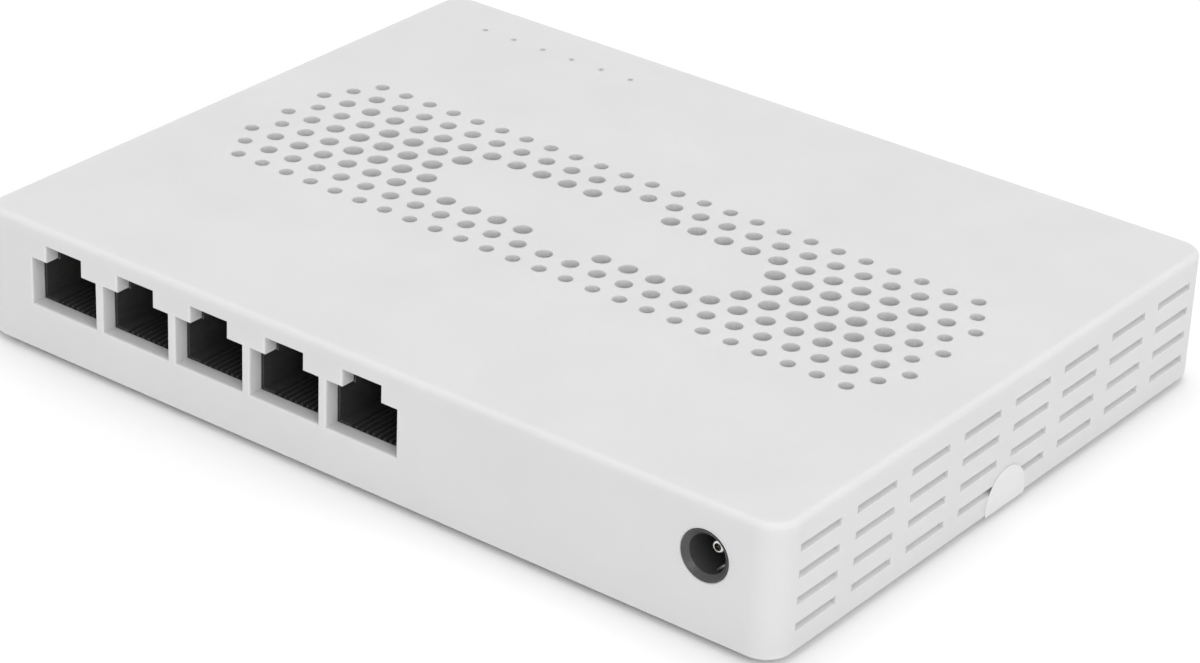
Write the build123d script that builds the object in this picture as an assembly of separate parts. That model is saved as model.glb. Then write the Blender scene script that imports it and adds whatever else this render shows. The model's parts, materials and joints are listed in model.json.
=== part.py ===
from build123d import *
import os

# Desktop network switch: five ganged modular sockets and a barrel power socket in a vented white case.
# Millimetres, +Z up. The origin is on the ground below the middle of the case, and the ports face -Y.

# ---------------------------------------------------------------- driving dimensions

CASE_LENGTH = 141.0
CASE_DEPTH = 108.0
CASE_HEIGHT = 20.0
CORNER_RADIUS = 4.0
TOP_EDGE_RADIUS = 0.9
BOTTOM_EDGE_CHAMFER = 0.3
WINDOW_EDGE_RADIUS = 0.25
TOP_THICKNESS = 2.0
FRONT_WALL = 2.5
SIDE_WALL = 2.0
FOOT_PROUD = 1.0

BASE_THICKNESS = 2.0
BASE_GAP = 0.15
BOARD_THICKNESS = 1.6
STANDOFF_HEIGHT = 1.6

PORT_COUNT = 5
PORT_PITCH = 13.97
FIRST_PORT_X = -54.2
CONTACTS_PER_PORT = 8
CONTACT_PITCH = 1.016

POWER_X = 59.05
POWER_CENTRE_HEIGHT = 12.05

VENT_PITCH = 4.76
VENT_ROW_PITCH = 4.13
VENT_DIAMETERS = (2.2, 2.6, 2.85, 3.1)

SLOT_COLUMNS = 8
SLOT_ROWS = 4
SLOT_LENGTH = 9.14
SLOT_HEIGHT = 1.2
SLOT_INNER_HEIGHT = 0.4
SLOT_COLUMN_PITCH = 12.76
SLOT_ROW_PITCH = 3.92
TOP_SLOT_UPPER_EDGE = 16.16

INDICATOR_COUNT = 6
INDICATOR_PITCH = 5.86
INDICATOR_MIDDLE_X = -42.8
INDICATOR_Y = 45.2
INDICATOR_WINDOW_RADIUS = 0.45
INDICATOR_TIP_DEPTH = 0.35

# ---------------------------------------------------------------- levels and planes worked out from them

CASE_BOTTOM = FOOT_PROUD
CASE_TOP = CASE_BOTTOM + CASE_HEIGHT
CEILING = CASE_TOP - TOP_THICKNESS
HALF_LENGTH = CASE_LENGTH / 2
HALF_DEPTH = CASE_DEPTH / 2
FRONT_Y = -HALF_DEPTH
FRONT_INNER_Y = FRONT_Y + FRONT_WALL
REAR_INNER_Y = HALF_DEPTH - SIDE_WALL
SIDE_INNER_X = HALF_LENGTH - SIDE_WALL
INNER_CORNER_RADIUS = CORNER_RADIUS - SIDE_WALL

BASE_TOP = CASE_BOTTOM + BASE_THICKNESS
BOARD_BOTTOM = BASE_TOP + STANDOFF_HEIGHT
BOARD_TOP = BOARD_BOTTOM + BOARD_THICKNESS

# Port windows in the front wall, measured up from the bottom of the case.
WINDOW_WIDTH = 12.55
WINDOW_FLOOR = CASE_BOTTOM + 7.27
WINDOW_SHOULDER = CASE_BOTTOM + 14.6
WINDOW_NOTCH_WIDTH = 6.89
WINDOW_NOTCH_TOP = CASE_BOTTOM + 17.23

# Ganged socket housing, standing on the board just behind the front wall.
SOCKET_FRONT_Y = FRONT_INNER_Y + 0.15
SOCKET_DEPTH = 17.0
SOCKET_HEIGHT = 12.6
SOCKET_END_WALL = 0.9
CAVITY_WIDTH = 11.9
CAVITY_DEPTH = 13.0
CAVITY_FLOOR = 2.37
CAVITY_SHOULDER = 9.15
CAVITY_NOTCH_WIDTH = 6.4
CAVITY_NOTCH_TOP = 11.8
SOCKET_PEG_RADIUS = 1.5

# Contact wires, each lying in its own slot in the socket's floor. Points along them are depth and height.
WIRE_THICKNESS = 0.3
WIRE_WIDTH = 0.44
WIRE_SLOT = 0.62
WIRE_GROOVE_TOP = 0.75
WIRE_SLOT_FLOOR = 0.95
WIRE_SLOT_LENGTH = 12.2
WIRE_FOLD_NOTCH = 1.45
WIRE_RUN_HEIGHT = 0.5
WIRE_HOOK = (0.45, 1.15)
CONTACT_RADIUS = 0.2
CONTACT_PIVOT = (1.0, 1.3)
CONTACT_LOW_BEND = (7.7, 2.15)
CONTACT_HIGH_BEND = (8.7, 4.0)
CONTACT_END = (11.3, 4.6)
CONTACT_BEND_RADIUS = 0.5
LEAD_HOLE_RADIUS = 0.45
STRIP_BEND_RATIO = 1.2
TAIL_ROWS = (14.2, 15.6)
TAIL_END = -BOARD_THICKNESS - 1.2
CARRIER_WIDTH = 11.0
CARRIER_HEIGHT = 9.0

# Barrel power socket.
POWER_Z = CASE_BOTTOM + POWER_CENTRE_HEIGHT
POWER_HOLE_RADIUS = 3.78
POWER_NOSE_RADIUS = 3.7
POWER_BORE_RADIUS = 2.85
POWER_BORE_DEPTH = 9.0
POWER_MOUTH_BEVEL = 0.75
POWER_BODY_WIDTH = 8.6
POWER_BODY_TOP = POWER_Z + 4.5
POWER_PIN_RADIUS = 1.0
POWER_PIN_TIP_DEPTH = 3.0
POWER_PIN_HOLLOW_RADIUS = 0.55
POWER_PIN_STEM_RADIUS = 0.7
POWER_BODY_REAR_Y = FRONT_Y + 11.0
SLEEVE_TAG_Y = FRONT_Y + 6.0
SWITCH_TAG_Y = FRONT_Y + 7.5
POWER_TAG_THICKNESS = 0.4
POWER_TAG_WIDTH = 1.8
POWER_TAG_HOLE_RADIUS = 1.1
SLEEVE_TAG_TOP = BOARD_TOP + 1.9
LEAF_ANGLE = 45.0
LEAF_WIDTH = 1.8
LEAF_THICKNESS = 0.3
LEAF_PIVOT = (8.2, 3.35)
LEAF_BEND = (2.6, 2.2)
LEAF_END = (1.6, 2.45)
LEAF_POCKET_START = 1.2
LEAF_POCKET_HALF_WIDTH = 1.1

# Case screws: each runs up through the base into a boss that hangs from the ceiling.
CASE_SCREWS = ((-64.4, -27.6), (64.4, -27.6), (-63.0, 46.0), (63.0, 46.0))
BOSS_RADIUS = 3.2
BOSS_PILOT_RADIUS = 1.25
BOSS_PILOT_DEPTH = 9.0
SCREW_PAD_RADIUS = 4.2
SCREW_PAD_HEIGHT = 1.4
SCREW_HEAD_RADIUS = 2.7
SCREW_HEAD_HEIGHT = 1.6
SCREW_RECESS_RADIUS = 3.0
SCREW_RECESS_DEPTH = 2.0

# Board screws.
BOARD_SCREWS = ((-50.0, 34.0), (50.0, 34.0), (-54.0, -4.0), (34.0, -40.0))
STANDOFF_RADIUS = 3.0
BOARD_SCREW_RADIUS = 1.0
BOARD_SCREW_BOTTOM = BOARD_BOTTOM - 2.5
BOARD_SCREW_HEAD_RADIUS = 2.0
BOARD_SCREW_HEAD_HEIGHT = 1.3

# Feet.
FOOT_PLACES = {
    "front_left": (-56, -43),
    "front_right": (56, -43),
    "rear_left": (-52, 43),
    "rear_right": (52, 43),
}
FOOT_RADIUS = 4.75
FOOT_RECESS_RADIUS = 5.0
FOOT_RECESS_DEPTH = 0.6

LABEL_THICKNESS = 0.08
SEAL_RADIUS = 5.0
SEAL_Y = 1.3
SEAL_HEIGHT = 0.88

# Parts on the board: places are the middles of the parts.
CHIP_SIZE = 14.0
CHIP_PLACE = (-20.0, 12.0)
TRANSFORMER_SIZE = (9.6, 14.0, 4.6)
TRANSFORMER_Y = -23.5
CAPACITORS = {"input": (42.0, -30.0), "output": (42.0, -8.0)}
CAPACITOR_RADIUS = 3.15
CAPACITOR_HEIGHT = 9.0
CAPACITOR_LEAD_PITCH = 2.5
INDUCTOR_PLACE = (28.0, -8.0)
INDUCTOR_SIZE = (7.0, 7.0, 3.4)
REGULATOR_PLACE = (28.0, -20.0)
MEMORY_PLACE = (2.0, 24.0)
SMALL_CHIP_SIZE = (4.9, 3.9, 1.5)
SMALL_CHIP_LEADS = (4, 1.27, 0.4)
CRYSTAL_PLACE = (-2.0, 10.0)
CRYSTAL_CAN_SIZE = (4.2, 10.5, 3.4)
CRYSTAL_FLANGE_SIZE = (4.9, 11.3, 0.5)

# ---------------------------------------------------------------- small shape helpers


def block(x_range, y_range, z_range):
    """Box between two limits on each axis."""
    lows = [min(limits) for limits in (x_range, y_range, z_range)]
    sizes = [max(limits) - min(limits) for limits in (x_range, y_range, z_range)]
    return Pos(*lows) * Box(*sizes, align=(Align.MIN, Align.MIN, Align.MIN))


def centred_block(x, y, width, depth, z_range):
    """Box centred on x, y between two heights."""
    return block((x - width / 2, x + width / 2), (y - depth / 2, y + depth / 2), z_range)


def post(x, y, radius, z_range):
    """Upright cylinder between two heights."""
    height = z_range[1] - z_range[0]
    return Pos(x, y, z_range[0]) * Cylinder(radius, height, align=(Align.CENTER, Align.CENTER, Align.MIN))


def rod_along_y(x, z, radius, y_range):
    """Cylinder along Y, starting at the first limit."""
    length = y_range[1] - y_range[0]
    cylinder = Cylinder(radius, length, align=(Align.CENTER, Align.CENTER, Align.MIN))
    return Pos(x, y_range[0], z) * Rot(-90, 0, 0) * cylinder


def rounded_slab(length, y_range, radius, z_range):
    """Slab with rounded upright corners, centred on x = 0."""
    depth = y_range[1] - y_range[0]
    middle_y = (y_range[0] + y_range[1]) / 2
    outline = Pos(0, middle_y) * RectangleRounded(length, depth, radius)
    return Pos(0, 0, z_range[0]) * extrude(outline, amount=z_range[1] - z_range[0])


def strip(points, thickness, width):
    """Flat strip whose side view follows points in the YZ plane, centred on x = 0."""
    if len(points) > 2:
        line = FilletPolyline(*points, radius=thickness * STRIP_BEND_RATIO)
    else:
        line = Polyline(*points)
    side_view = Plane.YZ * trace(line, thickness)
    return extrude(side_view, amount=width / 2, both=True)


def group(solids):
    """Separate solids kept together in one node."""
    return Compound(children=list(solids))


def port_x(port):
    """Middle of a port, counted from 0 on the left."""
    return FIRST_PORT_X + port * PORT_PITCH


def contact_offsets():
    """Places of the contact wires across one port."""
    middle = (CONTACTS_PER_PORT - 1) / 2
    return [(index - middle) * CONTACT_PITCH for index in range(CONTACTS_PER_PORT)]


# ---------------------------------------------------------------- case


def keyed_opening(x, width, notch_width, y_range, levels):
    """Port opening with its latch notch at the top; levels are floor, shoulder and notch top."""
    floor, shoulder, notch_top = levels
    main = block((x - width / 2, x + width / 2), y_range, (floor, shoulder))
    notch = block((x - notch_width / 2, x + notch_width / 2), y_range, (shoulder - 1, notch_top))
    return main + notch


def vent_places():
    """Each vent's x, y and diameter: a hexagonal field with a plain rectangle in its middle."""
    # For each row, counted from the middle row: the innermost and outermost vent, in pitches from x = 0.
    spans = {0: (6.5, 12.5), 1: (6.0, 12.0), 2: (1.5, 12.5), 3: (0.0, 12.0), 4: (0.5, 11.5)}
    last_row = max(spans)
    places = []
    for row in range(-last_row, last_row + 1):
        innermost, outermost = spans[abs(row)]
        for step in range(int(outermost - innermost) + 1):
            column = outermost - step
            ring = min(step, last_row - abs(row), len(VENT_DIAMETERS) - 1)
            for side in (-1, 1) if column > 0 else (1,):
                places.append((side * column * VENT_PITCH, row * VENT_ROW_PITCH, VENT_DIAMETERS[ring]))
    return places


def side_slots():
    """Cooling louvres through both side walls: level on top, with a sill that slopes down and outwards."""
    field_length = (SLOT_COLUMNS - 1) * SLOT_COLUMN_PITCH + SLOT_LENGTH
    slots = []
    for row in range(SLOT_ROWS):
        upper_edge = CASE_BOTTOM + TOP_SLOT_UPPER_EDGE - row * SLOT_ROW_PITCH
        for column in range(SLOT_COLUMNS):
            middle_y = -field_length / 2 + column * SLOT_COLUMN_PITCH + SLOT_LENGTH / 2
            slot = Pos(0, middle_y, upper_edge) * louvre()
            slots += [slot, mirror(slot, about=Plane.YZ)]
    return slots


def louvre():
    """Cut for one louvre of the right wall, with its upper edge at height 0."""
    overshoot = 0.5
    outline = Polyline(
        (HALF_LENGTH + overshoot, 0),
        (HALF_LENGTH + overshoot, -SLOT_HEIGHT),
        (HALF_LENGTH, -SLOT_HEIGHT),
        (SIDE_INNER_X, -SLOT_INNER_HEIGHT),
        (SIDE_INNER_X - overshoot, -SLOT_INNER_HEIGHT),
        (SIDE_INNER_X - overshoot, 0),
        close=True,
    )
    return extrude(Plane.XZ * make_face(outline), amount=SLOT_LENGTH / 2, both=True)


def indicator_places():
    """X of each indicator window."""
    middle = (INDICATOR_COUNT - 1) / 2
    return [INDICATOR_MIDDLE_X + (index - middle) * INDICATOR_PITCH for index in range(INDICATOR_COUNT)]


def make_top_cover():
    """White tray that forms the top and all four walls."""
    outside = rounded_slab(CASE_LENGTH, (FRONT_Y, HALF_DEPTH), CORNER_RADIUS, (CASE_BOTTOM, CASE_TOP))
    outside = fillet(outside.edges().group_by(Axis.Z)[-1], TOP_EDGE_RADIUS)
    outside = chamfer(outside.edges().group_by(Axis.Z)[0], BOTTOM_EDGE_CHAMFER)
    inner_length = 2 * SIDE_INNER_X
    inner_y = (FRONT_INNER_Y, REAR_INNER_Y)
    cover = outside - rounded_slab(inner_length, inner_y, INNER_CORNER_RADIUS, (CASE_BOTTOM - 1, CEILING))

    boss_bottom = BASE_TOP + SCREW_PAD_HEIGHT
    cover += [post(x, y, BOSS_RADIUS, (boss_bottom, CEILING)) for x, y in CASE_SCREWS]

    cover = cut_front_openings(cover)
    top_cut = (CEILING - 0.5, CASE_TOP + 1)
    cuts = [post(x, y, diameter / 2, top_cut) for x, y, diameter in vent_places()]
    cuts += [post(x, INDICATOR_Y, INDICATOR_WINDOW_RADIUS, top_cut) for x in indicator_places()]
    cuts += [post(x, y, BOSS_PILOT_RADIUS, (boss_bottom - 1, boss_bottom + BOSS_PILOT_DEPTH))
             for x, y in CASE_SCREWS]
    cuts += side_slots()
    return cover - cuts


def cut_front_openings(cover):
    """Cut the port windows and the power socket's hole, and round their outer edges."""
    wall_cut = (FRONT_Y - 1, FRONT_INNER_Y + 0.5)
    levels = (WINDOW_FLOOR, WINDOW_SHOULDER, WINDOW_NOTCH_TOP)
    cuts = [keyed_opening(port_x(port), WINDOW_WIDTH, WINDOW_NOTCH_WIDTH, wall_cut, levels)
            for port in range(PORT_COUNT)]
    cuts.append(rod_along_y(POWER_X, POWER_Z, POWER_HOLE_RADIUS, wall_cut))
    cover -= cuts
    tolerance = 0.01
    low = WINDOW_FLOOR - tolerance
    high = WINDOW_NOTCH_TOP + tolerance
    flat_half = HALF_LENGTH - CORNER_RADIUS - tolerance
    rim = cover.edges().filter_by_position(Axis.Y, FRONT_Y - tolerance, FRONT_Y + tolerance)
    rim = rim.filter_by(lambda edge: abs(edge.center().X) < flat_half and low < edge.center().Z < high)
    return fillet(rim, WINDOW_EDGE_RADIUS)


def make_base_cover():
    """Plate set into the tray's open underside, with the board's standoffs and the foot recesses."""
    half = SIDE_INNER_X - BASE_GAP
    y_range = (FRONT_INNER_Y + BASE_GAP, REAR_INNER_Y - BASE_GAP)
    base = rounded_slab(2 * half, y_range, INNER_CORNER_RADIUS - BASE_GAP, (CASE_BOTTOM, BASE_TOP))
    base += [post(x, y, SCREW_PAD_RADIUS, (CASE_BOTTOM, BASE_TOP + SCREW_PAD_HEIGHT)) for x, y in CASE_SCREWS]
    base = base & rounded_slab(2 * half, y_range, INNER_CORNER_RADIUS - BASE_GAP, (CASE_BOTTOM, CASE_TOP))
    base += [post(x, y, STANDOFF_RADIUS, (BASE_TOP, BOARD_BOTTOM)) for x, y in BOARD_SCREWS]
    cuts = []
    for x, y in CASE_SCREWS:
        cuts.append(post(x, y, SCREW_RECESS_RADIUS, (CASE_BOTTOM - 1, CASE_BOTTOM + SCREW_RECESS_DEPTH)))
        cuts.append(post(x, y, BOSS_PILOT_RADIUS + 0.3, (CASE_BOTTOM, BASE_TOP + SCREW_PAD_HEIGHT + 1)))
    for x, y in BOARD_SCREWS:
        cuts.append(post(x, y, BOARD_SCREW_RADIUS, (BOARD_SCREW_BOTTOM, BOARD_BOTTOM + 1)))
    for x, y in FOOT_PLACES.values():
        cuts.append(post(x, y, FOOT_RECESS_RADIUS, (CASE_BOTTOM - 1, CASE_BOTTOM + FOOT_RECESS_DEPTH)))
    return base - cuts


def make_foot(x, y):
    """Round rubber foot stuck in its recess in the base."""
    foot = post(x, y, FOOT_RADIUS, (0, CASE_BOTTOM + FOOT_RECESS_DEPTH))
    return fillet(foot.edges().group_by(Axis.Z)[0], 0.4)


def make_case_screws():
    """Four self-tapping screws with cross recesses."""
    screws = []
    head_top = CASE_BOTTOM + SCREW_RECESS_DEPTH
    head_bottom = head_top - SCREW_HEAD_HEIGHT
    for x, y in CASE_SCREWS:
        screw = post(x, y, SCREW_HEAD_RADIUS, (head_bottom, head_top))
        screw = fillet(screw.edges().group_by(Axis.Z)[0], 0.5)
        screw += post(x, y, BOSS_PILOT_RADIUS, (head_top, head_top + BOSS_PILOT_DEPTH))
        screws.append(screw - cross_recess(x, y, 2.6, (head_bottom - 1, head_bottom + 0.9)))
    return group(screws)


def cross_recess(x, y, span, z_range):
    """Two crossed slots for a screwdriver."""
    slot_width = span / 5
    return centred_block(x, y, span, slot_width, z_range) + centred_block(x, y, slot_width, span, z_range)


def make_light_pipe():
    """Clear moulding: one post up to each indicator window, joined by a bar under the ceiling."""
    places = indicator_places()
    bar_top = CEILING - 0.2
    bar_x = (places[0] - 1.5, places[-1] + 1.5)
    bar = block(bar_x, (INDICATOR_Y - 1.2, INDICATOR_Y + 1.2), (bar_top - 1.5, bar_top))
    tip_top = CASE_TOP - INDICATOR_TIP_DEPTH
    tips = [post(x, INDICATOR_Y, INDICATOR_WINDOW_RADIUS - 0.03, (bar_top - 0.1, tip_top)) for x in places]
    legs = [post(x, INDICATOR_Y, 1.1, (BOARD_TOP + 1.2, bar_top - 1.4)) for x in places]
    return bar + tips + legs


# ---------------------------------------------------------------- circuit board


def make_circuit_board():
    """Board that fills the case, with holes for the bosses, screws, pegs and every leaded part."""
    y_range = (SOCKET_FRONT_Y + 0.2, REAR_INNER_Y - 1.5)
    board = block((-SIDE_INNER_X + 1.5, SIDE_INNER_X - 1.5), y_range, (BOARD_BOTTOM, BOARD_TOP))
    through = (BOARD_BOTTOM - 1, BOARD_TOP + 1)
    cuts = [post(x, y, BOSS_RADIUS + 0.4, through) for x, y in CASE_SCREWS]
    cuts += [post(x, y, BOARD_SCREW_RADIUS + 0.3, through) for x, y in BOARD_SCREWS]
    cuts += [post(x, y, SOCKET_PEG_RADIUS + 0.05, through) for x, y in socket_pegs()]
    cuts += [post(x, y, LEAD_HOLE_RADIUS, through) for x, y in contact_tails()]
    cuts += [post(x, y, POWER_TAG_HOLE_RADIUS, through) for x, y in power_tag_places()]
    cuts += [post(x, y, LEAD_HOLE_RADIUS, through) for x, y in capacitor_leads()]
    return board - cuts


def make_board_screws():
    screws = []
    for x, y in BOARD_SCREWS:
        screw = post(x, y, BOARD_SCREW_HEAD_RADIUS, (BOARD_TOP, BOARD_TOP + BOARD_SCREW_HEAD_HEIGHT))
        screw = fillet(screw.edges().group_by(Axis.Z)[-1], 0.4)
        screw += post(x, y, BOARD_SCREW_RADIUS, (BOARD_SCREW_BOTTOM, BOARD_TOP))
        recess_top = BOARD_TOP + BOARD_SCREW_HEAD_HEIGHT
        screws.append(screw - cross_recess(x, y, 2.0, (recess_top - 0.7, recess_top + 1)))
    return group(screws)


# ---------------------------------------------------------------- ganged port sockets


def socket_pegs():
    """Pegs under the ganged housing that locate it in the board."""
    y = SOCKET_FRONT_Y + 6.5
    return [(port_x(port) + PORT_PITCH / 2, y) for port in (0, 2, PORT_COUNT - 2)]


def contact_tails():
    """Board holes of every port's eight solder tails, in two staggered rows."""
    places = []
    for port in range(PORT_COUNT):
        for index, offset in enumerate(contact_offsets()):
            places.append((port_x(port) + offset, SOCKET_FRONT_Y + TAIL_ROWS[index % 2]))
    return places


def make_port_housing():
    """One black moulding with five keyed cavities, each with eight comb slots in its floor."""
    half_width = CAVITY_WIDTH / 2 + SOCKET_END_WALL
    x_range = (port_x(0) - half_width, port_x(PORT_COUNT - 1) + half_width)
    rear_y = SOCKET_FRONT_Y + SOCKET_DEPTH
    housing = block(x_range, (SOCKET_FRONT_Y, rear_y), (BOARD_TOP, BOARD_TOP + SOCKET_HEIGHT))
    peg_levels = (BOARD_BOTTOM - 0.6, BOARD_TOP + 0.5)
    housing += [post(x, y, SOCKET_PEG_RADIUS, peg_levels) for x, y in socket_pegs()]
    cavity_y = (SOCKET_FRONT_Y - 1, SOCKET_FRONT_Y + CAVITY_DEPTH)
    levels = [BOARD_TOP + level for level in (CAVITY_FLOOR, CAVITY_SHOULDER, CAVITY_NOTCH_TOP)]
    cuts = []
    for port in range(PORT_COUNT):
        x = port_x(port)
        cuts.append(keyed_opening(x, CAVITY_WIDTH, CAVITY_NOTCH_WIDTH, cavity_y, levels))
        cuts.append(carrier_block(x, rear_y + 1))
        for offset in contact_offsets():
            cuts += contact_slots(x + offset)
    return housing - cuts


def contact_slots(x):
    """Slot above the floor's web for the sprung wire, groove below it for the fixed wire."""
    x_range = (x - WIRE_SLOT / 2, x + WIRE_SLOT / 2)
    start = SOCKET_FRONT_Y - 1
    upper = block(x_range, (start, SOCKET_FRONT_Y + WIRE_SLOT_LENGTH),
                  (BOARD_TOP + WIRE_SLOT_FLOOR, BOARD_TOP + CAVITY_FLOOR + 0.5))
    groove = block(x_range, (start, SOCKET_FRONT_Y + CAVITY_DEPTH + 0.5),
                   (BOARD_TOP - 0.5, BOARD_TOP + WIRE_GROOVE_TOP))
    fold = block(x_range, (start, SOCKET_FRONT_Y + WIRE_FOLD_NOTCH),
                 (BOARD_TOP - 0.5, BOARD_TOP + CAVITY_FLOOR + 0.5))
    return [upper, groove, fold]


def carrier_block(x, rear_y, height=CARRIER_HEIGHT):
    """Space behind a cavity that the contact carrier fills."""
    y_range = (SOCKET_FRONT_Y + CAVITY_DEPTH, rear_y)
    return block((x - CARRIER_WIDTH / 2, x + CARRIER_WIDTH / 2), y_range, (BOARD_TOP, BOARD_TOP + height))


def make_contact_carrier(port):
    """Black insert at the back of one cavity that holds the port's eight fixed wires."""
    x = port_x(port)
    carrier = carrier_block(x, SOCKET_FRONT_Y + SOCKET_DEPTH)
    grooves = []
    for index, offset in enumerate(contact_offsets()):
        groove_end = SOCKET_FRONT_Y + TAIL_ROWS[index % 2] + WIRE_THICKNESS
        x_range = (x + offset - WIRE_SLOT / 2, x + offset + WIRE_SLOT / 2)
        z_range = (BOARD_TOP - 0.5, BOARD_TOP + WIRE_GROOVE_TOP)
        grooves.append(block(x_range, (SOCKET_FRONT_Y + CAVITY_DEPTH - 1, groove_end), z_range))
    return carrier - grooves


def make_terminal_wires(port):
    """Fixed part of a port's eight wires: solder tail, run along the floor, and hook at the front."""
    wires = []
    hook_y = WIRE_HOOK[0]
    for index, offset in enumerate(contact_offsets()):
        tail_y = TAIL_ROWS[index % 2]
        points = [(tail_y, TAIL_END), (tail_y, WIRE_RUN_HEIGHT), (hook_y, WIRE_RUN_HEIGHT), WIRE_HOOK]
        wires.append(place_in_port(port, offset, strip(points, WIRE_THICKNESS, WIRE_WIDTH)))
    return group(wires)


def make_spring_contacts(port):
    """Sprung part of a port's eight wires, low in the comb slots, then up a steep knee and on to the back."""
    points = [CONTACT_PIVOT, CONTACT_LOW_BEND, CONTACT_HIGH_BEND, CONTACT_END]
    path = Plane.YZ * FilletPolyline(*points, radius=CONTACT_BEND_RADIUS)
    section = Plane(origin=path @ 0, z_dir=path % 0) * Circle(CONTACT_RADIUS)
    wire = sweep(section, path=path)
    knuckle = Pos(0, *CONTACT_PIVOT) * Rot(0, 90, 0) * Cylinder(CONTACT_RADIUS, WIRE_WIDTH)
    return group(place_in_port(port, offset, wire + knuckle) for offset in contact_offsets())


def place_in_port(port, offset, wire):
    """Move a wire from the socket's own corner, front face and board level, to its port."""
    return Pos(port_x(port) + offset, SOCKET_FRONT_Y, BOARD_TOP) * wire


# ---------------------------------------------------------------- power socket


def power_frame(angle=0):
    """Frame on the power socket's axis at the case's front face, turned about that axis."""
    return Pos(POWER_X, FRONT_Y, POWER_Z) * Rot(0, angle, 0)


def power_tag_places():
    """Middles of the power socket's tags: centre pin, sleeve and switch."""
    half = POWER_TAG_THICKNESS / 2
    switch_x = POWER_X - POWER_BODY_WIDTH / 2 - half
    return [(POWER_X, POWER_BODY_REAR_Y + half), (POWER_X, SLEEVE_TAG_Y), (switch_x, SWITCH_TAG_Y)]


def make_power_housing():
    """Body with a round nose that fills the hole in the case, flush with its face, and a bevelled bore."""
    half = POWER_BODY_WIDTH / 2
    body_y = (SOCKET_FRONT_Y, POWER_BODY_REAR_Y)
    body = block((POWER_X - half, POWER_X + half), body_y, (BOARD_TOP, POWER_BODY_TOP))
    body = fillet(body.edges().filter_by(Axis.Y).group_by(Axis.Z)[-1], 1.2)
    nose = rod_along_y(POWER_X, POWER_Z, POWER_NOSE_RADIUS, (FRONT_Y, SOCKET_FRONT_Y + 1))
    bore = rod_along_y(POWER_X, POWER_Z, POWER_BORE_RADIUS, (FRONT_Y - 1, FRONT_Y + POWER_BORE_DEPTH))
    mouth_radius = POWER_BORE_RADIUS + POWER_MOUTH_BEVEL
    upwards = (Align.CENTER, Align.CENTER, Align.MIN)
    mouth = Cone(mouth_radius, POWER_BORE_RADIUS, POWER_MOUTH_BEVEL, align=upwards)
    bevel = power_frame() * Rot(-90, 0, 0) * mouth
    pin_hole = rod_along_y(POWER_X, POWER_Z, POWER_PIN_STEM_RADIUS, (FRONT_Y, POWER_BODY_REAR_Y + 1))
    pocket_width = (-LEAF_POCKET_HALF_WIDTH, LEAF_POCKET_HALF_WIDTH)
    nose_pocket = power_frame(LEAF_ANGLE) * block((1.6, 3.55), (LEAF_POCKET_START, 4), pocket_width)
    body_pocket = power_frame(LEAF_ANGLE) * block((1.6, 4.1), (2.9, 8.9), pocket_width)
    sleeve_slot_z = (BOARD_TOP - 1, SLEEVE_TAG_TOP + 0.1)
    sleeve_tag_slot = centred_block(POWER_X, SLEEVE_TAG_Y, POWER_TAG_WIDTH + 0.1, POWER_TAG_THICKNESS + 0.1,
                                    sleeve_slot_z)
    return (body + nose) - [bore, bevel, pin_hole, nose_pocket, body_pocket, sleeve_tag_slot]


def make_power_pin():
    """Split centre pin with a hollow, rounded tip."""
    tip_y = FRONT_Y + POWER_PIN_TIP_DEPTH
    shoulder_y = FRONT_Y + POWER_BORE_DEPTH
    pin = rod_along_y(POWER_X, POWER_Z, POWER_PIN_RADIUS, (tip_y, shoulder_y))
    pin = fillet(pin.edges().group_by(Axis.Y)[0], 0.3)
    pin += rod_along_y(POWER_X, POWER_Z, POWER_PIN_STEM_RADIUS, (shoulder_y, POWER_BODY_REAR_Y))
    return pin - rod_along_y(POWER_X, POWER_Z, POWER_PIN_HOLLOW_RADIUS, (tip_y - 1, tip_y + 2.5))


def make_power_leaf():
    """Sprung leaf that presses on the plug's sleeve, at the lower right of the bore."""
    leaf = strip([LEAF_PIVOT, LEAF_BEND, LEAF_END], LEAF_THICKNESS, LEAF_WIDTH)
    knuckle = Pos(0, *LEAF_PIVOT) * Rot(0, 90, 0) * Cylinder(LEAF_THICKNESS / 2, LEAF_WIDTH)
    return power_frame(LEAF_ANGLE) * Rot(0, 90, 0) * (leaf + knuckle)


def make_power_tags():
    """Three flat solder tags: centre pin, sleeve and switch."""
    low = BOARD_BOTTOM - 1.0
    centre, sleeve, switch = power_tag_places()
    return group([
        centred_block(*centre, POWER_TAG_WIDTH, POWER_TAG_THICKNESS, (low, POWER_Z + 1.2)),
        centred_block(*sleeve, POWER_TAG_WIDTH, POWER_TAG_THICKNESS, (low, SLEEVE_TAG_TOP)),
        centred_block(*switch, POWER_TAG_THICKNESS, POWER_TAG_WIDTH, (low, BOARD_TOP + 4)),
    ])


# ---------------------------------------------------------------- parts on the board


def on_board(x, y, width, depth, height, lift=0.0):
    """Block standing on the board's top face."""
    return centred_block(x, y, width, depth, (BOARD_TOP + lift, BOARD_TOP + height))


def gull_leads(x, y, body_depth, count, pitch, lead_width):
    """Two rows of bent leads along the two long sides of a package."""
    reach = 1.2
    side_view = [(0, 0.7), (reach / 2, 0.7), (reach / 2, 0.1), (reach, 0.1)]
    lead = strip(side_view, 0.15, lead_width)
    leads = []
    for index in range(count):
        lead_x = x + (index - (count - 1) / 2) * pitch
        leads.append(Pos(lead_x, y + body_depth / 2, BOARD_TOP) * lead)
        leads.append(Pos(lead_x, y - body_depth / 2, BOARD_TOP) * Rot(0, 0, 180) * lead)
    return leads


def make_switch_chip():
    x, y = CHIP_PLACE
    chip = on_board(x, y, CHIP_SIZE, CHIP_SIZE, 1.5, lift=0.1)
    chip = chamfer(chip.edges().filter_by(Axis.Z), 0.8)
    return chip - post(x - 5, y - 5, 0.6, (BOARD_TOP + 1.4, BOARD_TOP + 2))


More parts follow.
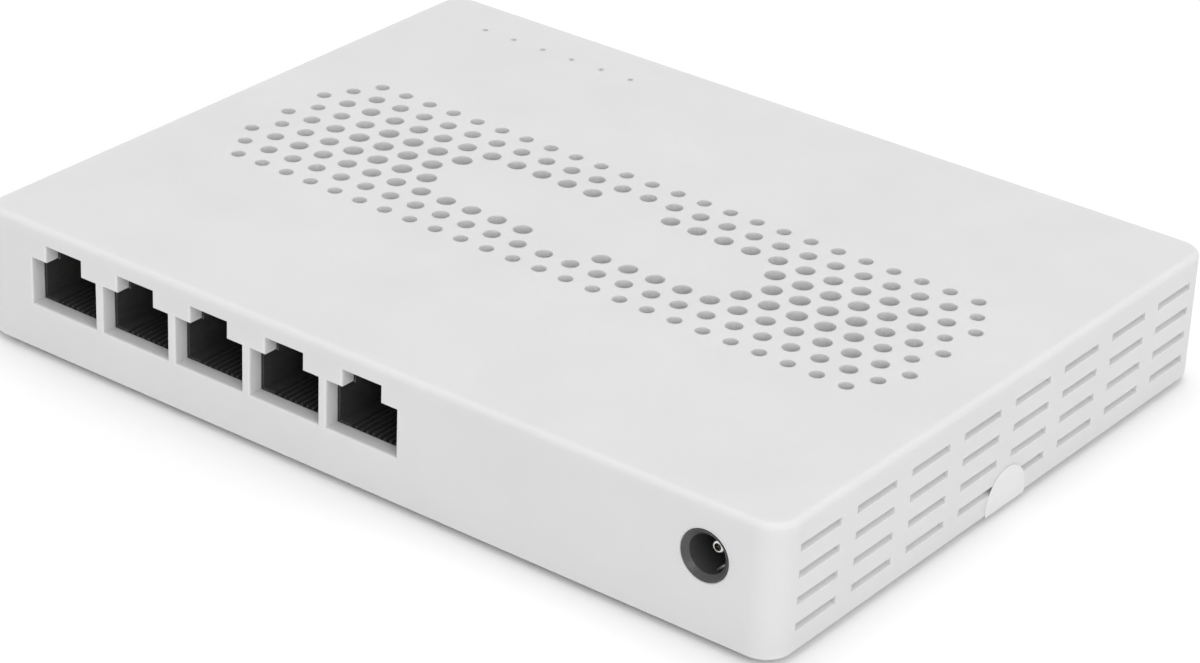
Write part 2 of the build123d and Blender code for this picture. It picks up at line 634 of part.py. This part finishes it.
def make_chip_leads():
    """Leads on all four sides of the switch chip."""
    x, y = CHIP_PLACE
    rows = gull_leads(0, 0, CHIP_SIZE, 24, 0.5, 0.25)
    turned = [Rot(0, 0, 90) * lead for lead in rows]
    return group(Pos(x, y, 0) * lead for lead in rows + turned)


def make_transformer(port):
    """Isolation transformer module behind one port."""
    width, depth, height = TRANSFORMER_SIZE
    module = on_board(port_x(port), TRANSFORMER_Y, width, depth, height, lift=0.2)
    return chamfer(module.edges().group_by(Axis.Z)[-1], 0.4)


def make_transformer_leads():
    """Leads along both long sides of the five transformer modules."""
    leads = []
    for port in range(PORT_COUNT):
        rows = gull_leads(0, 0, TRANSFORMER_SIZE[0], 12, 1.1, 0.4)
        leads += [Pos(port_x(port), TRANSFORMER_Y, 0) * Rot(0, 0, 90) * lead for lead in rows]
    return group(leads)


def capacitor_leads():
    half = CAPACITOR_LEAD_PITCH / 2
    return [(x + side * half, y) for x, y in CAPACITORS.values() for side in (-1, 1)]


def make_capacitor(name):
    """Electrolytic can with a rolled groove, standing on its two leads."""
    x, y = CAPACITORS[name]
    can = post(x, y, CAPACITOR_RADIUS, (BOARD_TOP + 0.2, BOARD_TOP + CAPACITOR_HEIGHT))
    can = fillet(can.edges().group_by(Axis.Z)[-1], 0.4)
    groove_z = BOARD_TOP + 1.6
    groove = post(x, y, CAPACITOR_RADIUS + 1, (groove_z, groove_z + 0.5))
    groove -= post(x, y, CAPACITOR_RADIUS - 0.35, (groove_z - 1, groove_z + 2))
    half = CAPACITOR_LEAD_PITCH / 2
    leads = [post(x + side * half, y, 0.3, (BOARD_BOTTOM - 1, BOARD_TOP + 0.4)) for side in (-1, 1)]
    return (can - groove) + leads


def make_inductor():
    """Shielded power inductor."""
    inductor = on_board(*INDUCTOR_PLACE, *INDUCTOR_SIZE)
    inductor = chamfer(inductor.edges().filter_by(Axis.Z), 1.2)
    return fillet(inductor.edges().group_by(Axis.Z)[-1], 0.3)


def make_small_chip(place):
    """Eight-lead package, body and leads: the power regulator or the settings memory."""
    body = on_board(*place, *SMALL_CHIP_SIZE, lift=0.1)
    return body + gull_leads(*place, SMALL_CHIP_SIZE[1], *SMALL_CHIP_LEADS)


def make_crystal():
    """Low can with a flange, which sets the clock."""
    flange_top = CRYSTAL_FLANGE_SIZE[2]
    can = on_board(*CRYSTAL_PLACE, *CRYSTAL_CAN_SIZE, lift=flange_top)
    can = fillet(can.edges().filter_by(Axis.Z), 2.0)
    flange = on_board(*CRYSTAL_PLACE, *CRYSTAL_FLANGE_SIZE)
    return can + fillet(flange.edges().filter_by(Axis.Z), 2.3)


def make_ceramic_parts():
    """Small ceramic capacitors and resistors round the chip and behind the transformers."""
    chips = []
    chip_x, chip_y = CHIP_PLACE
    for index in range(8):
        along = -10.5 + 3.0 * index
        chips.append(on_board(chip_x + along, chip_y + 11.5, 1.6, 0.8, 0.8))
        chips.append(on_board(chip_x - 11.5, chip_y + along, 0.8, 1.6, 0.8))
    for port in range(PORT_COUNT):
        for step in (-3.6, -1.2, 1.2, 3.6):
            chips.append(on_board(port_x(port) + step, TRANSFORMER_Y + 10.0, 0.8, 1.6, 0.6))
    for step in range(3):
        chips.append(on_board(20.0, -24.0 + 4.0 * step, 3.2, 2.5, 1.8))
    return group(chips)


def make_indicator(x):
    """Surface-mounted indicator diode under one light pipe."""
    return on_board(x, INDICATOR_Y, 2.0, 1.25, 0.8)


# ---------------------------------------------------------------- labels


def make_rating_label():
    """Blank rating label on the base."""
    outline = RectangleRounded(52, 30, 1.5)
    return Pos(0, -6, CASE_BOTTOM - LABEL_THICKNESS) * extrude(outline, amount=LABEL_THICKNESS)


def make_seal_label():
    """Round seal stuck over the right wall's lower edge and folded under it."""
    low = CASE_BOTTOM - LABEL_THICKNESS
    outer_x = HALF_LENGTH + LABEL_THICKNESS
    disc = Cylinder(SEAL_RADIUS, LABEL_THICKNESS, align=(Align.CENTER, Align.CENTER, Align.MIN))
    on_wall = Pos(HALF_LENGTH, SEAL_Y, CASE_BOTTOM + SEAL_HEIGHT) * Rot(0, 90, 0) * disc
    on_wall &= block((0, outer_x), (SEAL_Y - 10, SEAL_Y + 10), (low, CASE_TOP))
    under = Pos(HALF_LENGTH + SEAL_HEIGHT, SEAL_Y, low) * disc
    under &= block((0, outer_x), (SEAL_Y - 10, SEAL_Y + 10), (low, CASE_BOTTOM))
    return on_wall + under


# ---------------------------------------------------------------- all nodes


def make_nodes():
    nodes = {
        "top_cover": make_top_cover(),
        "base_cover": make_base_cover(),
        "case_screws": make_case_screws(),
        "circuit_board": make_circuit_board(),
        "board_screws": make_board_screws(),
        "indicator_light_pipe": make_light_pipe(),
        "ganged_port_housing": make_port_housing(),
        "power_socket_housing": make_power_housing(),
        "power_socket_pin": make_power_pin(),
        "power_socket_leaf": make_power_leaf(),
        "power_socket_tags": make_power_tags(),
        "switch_chip": make_switch_chip(),
        "switch_chip_leads": make_chip_leads(),
        "transformer_leads": make_transformer_leads(),
        "power_inductor": make_inductor(),
        "regulator_chip": make_small_chip(REGULATOR_PLACE),
        "memory_chip": make_small_chip(MEMORY_PLACE),
        "clock_crystal": make_crystal(),
        "small_ceramic_parts": make_ceramic_parts(),
        "rating_label": make_rating_label(),
        "seal_label": make_seal_label(),
    }
    for name in CAPACITORS:
        nodes[f"{name}_capacitor"] = make_capacitor(name)
    for name, (x, y) in FOOT_PLACES.items():
        nodes[f"rubber_foot_{name}"] = make_foot(x, y)
    for port in range(PORT_COUNT):
        nodes[f"port_{port + 1}_spring_contacts"] = make_spring_contacts(port)
        nodes[f"port_{port + 1}_terminal_wires"] = make_terminal_wires(port)
        nodes[f"port_{port + 1}_contact_carrier"] = make_contact_carrier(port)
        nodes[f"port_{port + 1}_transformer"] = make_transformer(port)
    for index, x in enumerate(indicator_places()):
        nodes[f"indicator_diode_{index + 1}"] = make_indicator(x)
    return nodes


os.makedirs("parts", exist_ok=True)
for node, shape in make_nodes().items():
    export_step(shape, f"parts/{node}.step")
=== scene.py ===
import json
import math

import bpy
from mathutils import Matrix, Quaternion, Vector

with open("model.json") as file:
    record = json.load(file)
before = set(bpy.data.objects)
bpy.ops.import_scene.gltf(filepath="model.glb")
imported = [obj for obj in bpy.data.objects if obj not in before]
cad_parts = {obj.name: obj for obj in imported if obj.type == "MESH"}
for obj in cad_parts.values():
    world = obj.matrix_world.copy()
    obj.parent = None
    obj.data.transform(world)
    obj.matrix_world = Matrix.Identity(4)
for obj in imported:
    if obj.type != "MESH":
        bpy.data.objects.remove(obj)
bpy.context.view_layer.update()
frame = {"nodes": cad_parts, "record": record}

# Desktop network switch. Metres, in the frame of the CAD model: the ports face -Y and +Z is up.

MM = 0.001

# ---------------------------------------------------------------- camera, floor and light

CAMERA_PLACE = Vector((0.2914, -0.3939, 0.2578))
CAMERA_TARGET = Vector((0.0080, -0.0090, 0.0100))
CAMERA_ROLL = math.radians(2.53)
CAMERA_LENS = 113.0
SENSOR_WIDTH = 36.0
CLIP_START = 0.01

FLOOR_SIZE = 6.0
FLOOR_COLOUR = (0.93, 0.93, 0.93)
FLOOR_ROUGHNESS = 0.9
SKY_COLOUR = (1.0, 1.0, 1.0)
SKY_STRENGTH = 0.64
KEY_PLACE = (1.9, -1.5, 1.8)
KEY_SIZE = 2.0
KEY_WATTS = 32.0
TOP_LIGHT_PLACE = (-0.2, 0.4, 3.0)
TOP_LIGHT_SIZE = 2.0
TOP_LIGHT_WATTS = 29.0
FRONT_LIGHT_PLACE = (0.05, -1.40, 0.54)
FRONT_LIGHT_SIZE = 0.3
FRONT_LIGHT_WATTS = 0.6


def make_camera():
    """Camera at the place and aim above, turned about its own line of sight by the roll."""
    data = bpy.data.cameras.new("camera")
    data.lens = CAMERA_LENS
    data.sensor_width = SENSOR_WIDTH
    data.clip_start = CLIP_START
    camera = bpy.data.objects.new("camera", data)
    bpy.context.collection.objects.link(camera)
    camera.location = CAMERA_PLACE
    camera.rotation_mode = "QUATERNION"
    aim = (CAMERA_TARGET - CAMERA_PLACE).to_track_quat("-Z", "Y")
    camera.rotation_quaternion = aim @ Quaternion((0, 0, 1), CAMERA_ROLL)
    bpy.context.scene.camera = camera


def make_area_light(name, place, size, watts):
    """Round light that faces the object."""
    data = bpy.data.lights.new(name, "AREA")
    data.shape = "DISK"
    data.size = size
    data.energy = watts
    light = bpy.data.objects.new(name, data)
    bpy.context.collection.objects.link(light)
    light.location = place
    light.rotation_mode = "QUATERNION"
    light.rotation_quaternion = (-Vector(place)).to_track_quat("-Z", "Y")


def make_lights():
    """Even white sky with three soft lights: from the right, from above, and a small one into the ports."""
    world = bpy.data.worlds.new("studio")
    world.use_nodes = True
    background = world.node_tree.nodes["Background"]
    background.inputs["Color"].default_value = (*SKY_COLOUR, 1)
    background.inputs["Strength"].default_value = SKY_STRENGTH
    bpy.context.scene.world = world
    bpy.context.scene.view_settings.view_transform = "Standard"
    make_area_light("key_light", KEY_PLACE, KEY_SIZE, KEY_WATTS)
    make_area_light("top_light", TOP_LIGHT_PLACE, TOP_LIGHT_SIZE, TOP_LIGHT_WATTS)
    make_area_light("front_light", FRONT_LIGHT_PLACE, FRONT_LIGHT_SIZE, FRONT_LIGHT_WATTS)


def make_floor():
    """Plain pale floor that the object stands on."""
    mesh = bpy.data.meshes.new("floor")
    half = FLOOR_SIZE / 2
    corners = [(-half, -half, 0), (half, -half, 0), (half, half, 0), (-half, half, 0)]
    mesh.from_pydata(corners, [], [(0, 1, 2, 3)])
    floor = bpy.data.objects.new("floor", mesh)
    bpy.context.collection.objects.link(floor)
    material = bpy.data.materials.new("floor")
    material.use_nodes = True
    shader = material.node_tree.nodes["Principled BSDF"]
    shader.inputs["Base Color"].default_value = (*FLOOR_COLOUR, 1)
    shader.inputs["Roughness"].default_value = FLOOR_ROUGHNESS
    floor.data.materials.append(material)


# ---------------------------------------------------------------- material building blocks


class Nodes:
    """A material under construction, with short calls for the nodes that the finishes share."""

    def __init__(self, name):
        self.material = bpy.data.materials.new(name)
        self.material.use_nodes = True
        self.tree = self.material.node_tree
        self.shader = self.tree.nodes["Principled BSDF"]
        self.place = self.tree.nodes.new("ShaderNodeTexCoord").outputs["Object"]

    def link(self, output, target):
        self.tree.links.new(output, target)

    def set(self, **values):
        """Constant values on the shader's own sockets."""
        for name, value in values.items():
            self.shader.inputs[name.replace("_", " ")].default_value = value

    def noise(self, size, detail=2.0, stretch=None):
        """Noise whose lumps are about size metres across; stretch scales it along X, Y and Z."""
        texture = self.tree.nodes.new("ShaderNodeTexNoise")
        texture.inputs["Scale"].default_value = 1 / size
        texture.inputs["Detail"].default_value = detail
        source = self.place
        if stretch:
            mapping = self.tree.nodes.new("ShaderNodeMapping")
            mapping.inputs["Scale"].default_value = stretch
            self.link(source, mapping.inputs["Vector"])
            source = mapping.outputs["Vector"]
        self.link(source, texture.inputs["Vector"])
        return texture.outputs["Fac"]

    def cells(self, size):
        """Distance to the nearest of many scattered points, for pits and grains."""
        texture = self.tree.nodes.new("ShaderNodeTexVoronoi")
        texture.inputs["Scale"].default_value = 1 / size
        self.link(self.place, texture.inputs["Vector"])
        return texture.outputs["Distance"]

    def spread(self, value, low=0, high=1, between=(0.3, 0.7)):
        """A value mapped from between onto the range low to high."""
        node = self.tree.nodes.new("ShaderNodeMapRange")
        node.inputs["From Min"].default_value = between[0]
        node.inputs["From Max"].default_value = between[1]
        node.inputs["To Min"].default_value = low
        node.inputs["To Max"].default_value = high
        self.link(value, node.inputs["Value"])
        return node.outputs["Result"]

    def colour(self, factor, first, second):
        """Base colour that goes from first to second as factor goes from 0 to 1."""
        node = self.tree.nodes.new("ShaderNodeMix")
        node.data_type = "RGBA"
        node.inputs["A"].default_value = (*first, 1)
        node.inputs["B"].default_value = (*second, 1)
        self.link(factor, node.inputs["Factor"])
        self.link(node.outputs["Result"], self.shader.inputs["Base Color"])

    def roughness(self, value, low, high):
        """Roughness between low and high, following value."""
        self.link(self.spread(value, low, high), self.shader.inputs["Roughness"])

    def total(self, first, second, share):
        """first plus share times second."""
        node = self.tree.nodes.new("ShaderNodeMath")
        node.operation = "MULTIPLY_ADD"
        self.link(second, node.inputs[0])
        node.inputs[1].default_value = share
        self.link(first, node.inputs[2])
        return node.outputs["Value"]

    def bump(self, height, depth):
        """Relief of depth metres from a 0 to 1 height."""
        node = self.tree.nodes.new("ShaderNodeBump")
        node.inputs["Distance"].default_value = depth
        self.link(height, node.inputs["Height"])
        self.link(node.outputs["Normal"], self.shader.inputs["Normal"])


# ---------------------------------------------------------------- materials, one for each slot


def white_plastic():
    """Spark-eroded white case plastic: fine pits, with slight mottling and a trace of handling."""
    n = Nodes("white_plastic")
    mottle = n.noise(18 * MM, detail=4)
    grain = n.noise(0.35 * MM, detail=3)
    pits = n.cells(0.28 * MM)
    n.colour(n.spread(mottle), (0.670, 0.670, 0.672), (0.690, 0.690, 0.690))
    n.set(Subsurface_Weight=0.5, Subsurface_Radius=(1, 1, 1), Subsurface_Scale=2 * MM)
    n.roughness(n.noise(9 * MM, detail=5), 0.50, 0.60)
    n.bump(n.total(grain, pits, share=0.6), 0.012 * MM)
    return n.material


def black_plastic():
    """Glass-filled black nylon of the port sockets."""
    n = Nodes("black_plastic")
    fibres = n.noise(0.5 * MM, detail=3, stretch=(1, 0.25, 1))
    n.colour(n.spread(fibres), (0.040, 0.040, 0.041), (0.055, 0.055, 0.056))
    n.roughness(n.noise(2 * MM, detail=4), 0.34, 0.52)
    n.bump(fibres, 0.01 * MM)
    return n.material


def dark_grey_plastic():
    """Power socket moulding."""
    n = Nodes("dark_grey_plastic")
    grain = n.noise(0.25 * MM, detail=3)
    n.colour(n.spread(grain), (0.055, 0.055, 0.058), (0.072, 0.072, 0.075))
    n.roughness(n.noise(1.5 * MM, detail=4), 0.34, 0.48)
    n.bump(grain, 0.008 * MM)
    return n.material


def green_board():
    """Green solder mask over copper: pale traces show through as raised lines."""
    n = Nodes("green_board")
    wave = n.tree.nodes.new("ShaderNodeTexWave")
    wave.inputs["Scale"].default_value = 0.08 / MM
    wave.inputs["Distortion"].default_value = 1.5
    n.link(n.place, wave.inputs["Vector"])
    traces = n.spread(wave.outputs["Fac"], between=(0.55, 0.65))
    n.colour(traces, (0.006, 0.060, 0.026), (0.012, 0.105, 0.045))
    n.roughness(n.noise(3 * MM), 0.22, 0.34)
    n.bump(traces, 0.03 * MM)
    return n.material


def clear_plastic():
    """Frosted light pipe."""
    n = Nodes("clear_plastic")
    haze = n.noise(0.4 * MM, detail=3)
    n.colour(n.spread(haze), (0.40, 0.41, 0.41), (0.48, 0.49, 0.49))
    n.set(Transmission_Weight=0.35, IOR=1.49)
    n.roughness(haze, 0.25, 0.4)
    n.bump(haze, 0.004 * MM)
    return n.material


def foot_rubber():
    """Dull dark rubber with a coarse grain."""
    n = Nodes("foot_rubber")
    grain = n.noise(0.4 * MM, detail=5)
    n.colour(n.spread(grain), (0.045, 0.045, 0.047), (0.075, 0.075, 0.077))
    n.roughness(n.noise(2 * MM), 0.75, 0.9)
    n.bump(grain, 0.03 * MM)
    return n.material


def label_film():
    """White polyester label, smoother than the case, with faint paper cloud."""
    n = Nodes("label_film")
    cloud = n.noise(1.2 * MM, detail=5)
    n.colour(n.spread(cloud), (0.735, 0.735, 0.735), (0.755, 0.755, 0.755))
    n.roughness(n.noise(4 * MM), 0.30, 0.38)
    n.bump(cloud, 0.003 * MM)
    return n.material


# Metals: light tone, tarnished tone, middle roughness, and the direction that the grain is drawn out in.
ALONG_X, ALONG_Y, ALONG_Z = (0.2, 1, 1), (1, 0.2, 1), (1, 1, 0.2)
METALS = {
    "gold_plate": ((0.90, 0.86, 0.76), (0.84, 0.79, 0.68), 0.20, ALONG_Y),
    "nickel_plate": ((0.78, 0.77, 0.74), (0.66, 0.65, 0.62), 0.18, ALONG_Y),
    "tin_plate": ((0.66, 0.66, 0.67), (0.55, 0.55, 0.56), 0.42, ALONG_Z),
    "spring_metal": ((0.62, 0.61, 0.59), (0.50, 0.50, 0.48), 0.30, ALONG_Y),
    "screw_steel": ((0.50, 0.50, 0.52), (0.40, 0.40, 0.42), 0.32, ALONG_X),
}
METAL_GRAIN = 0.2 * MM
METAL_RELIEF = 0.004 * MM
METAL_ROUGHNESS_SPAN = 0.07


def metal(name, light, tarnished, roughness, direction):
    """Plated or rolled metal with a grain drawn out along one direction."""
    n = Nodes(name)
    grain = n.noise(METAL_GRAIN, detail=3, stretch=direction)
    tarnish = n.noise(2.5 * MM, detail=4)
    n.colour(n.spread(tarnish), light, tarnished)
    n.set(Metallic=1.0)
    n.roughness(grain, roughness - METAL_ROUGHNESS_SPAN, roughness + METAL_ROUGHNESS_SPAN)
    n.bump(grain, METAL_RELIEF)
    return n.material


# Moulded and fired parts: dark tone, light tone, middle roughness, grain size and relief.
FINE_GRAIN, FINE_RELIEF = 0.2 * MM, 0.01 * MM
COARSE_GRAIN, COARSE_RELIEF = 0.3 * MM, 0.03 * MM
MOULDINGS = {
    "chip_epoxy": ((0.014, 0.014, 0.015), (0.024, 0.024, 0.026), 0.55, FINE_GRAIN, FINE_RELIEF),
    "ferrite": ((0.040, 0.040, 0.044), (0.070, 0.070, 0.074), 0.60, COARSE_GRAIN, COARSE_RELIEF),
    "ceramic_parts": ((0.34, 0.25, 0.16), (0.42, 0.31, 0.20), 0.45, FINE_GRAIN, FINE_RELIEF),
    "capacitor_sleeve": ((0.012, 0.016, 0.04), (0.016, 0.02, 0.05), 0.28, FINE_GRAIN, FINE_RELIEF),
    "diode_resin": ((0.60, 0.58, 0.44), (0.68, 0.66, 0.50), 0.25, FINE_GRAIN, FINE_RELIEF),
}
MOULDED_ROUGHNESS_SPAN = 0.08


def moulded(name, dark, light, roughness, grain_size, relief):
    """Moulded or fired material with an even grain."""
    n = Nodes(name)
    grain = n.noise(grain_size, detail=4)
    n.colour(n.spread(grain), dark, light)
    wear = n.noise(2 * MM, detail=3)
    n.roughness(wear, roughness - MOULDED_ROUGHNESS_SPAN, roughness + MOULDED_ROUGHNESS_SPAN)
    n.bump(grain, relief)
    return n.material


OWN_FINISHES = {
    "white_plastic": white_plastic,
    "black_plastic": black_plastic,
    "dark_grey_plastic": dark_grey_plastic,
    "green_board": green_board,
    "clear_plastic": clear_plastic,
    "foot_rubber": foot_rubber,
    "label_film": label_film,
}


def make_finish(slot):
    """Material of one slot, from its own function or from the metals or mouldings above."""
    if slot in METALS:
        return metal(slot, *METALS[slot])
    if slot in MOULDINGS:
        return moulded(slot, *MOULDINGS[slot])
    return OWN_FINISHES[slot]()


def dress_nodes():
    """Give every CAD node the finish of its own slot."""
    slots = {part["node"]: part["material_slot"] for part in frame["record"]["subparts"]}
    made = {slot: make_finish(slot) for slot in sorted(set(slots.values()))}
    for name, node in frame["nodes"].items():
        node.data.materials.clear()
        node.data.materials.append(made[slots[name]])


# ---------------------------------------------------------------- scene

make_camera()
make_lights()
make_floor()
dress_nodes()
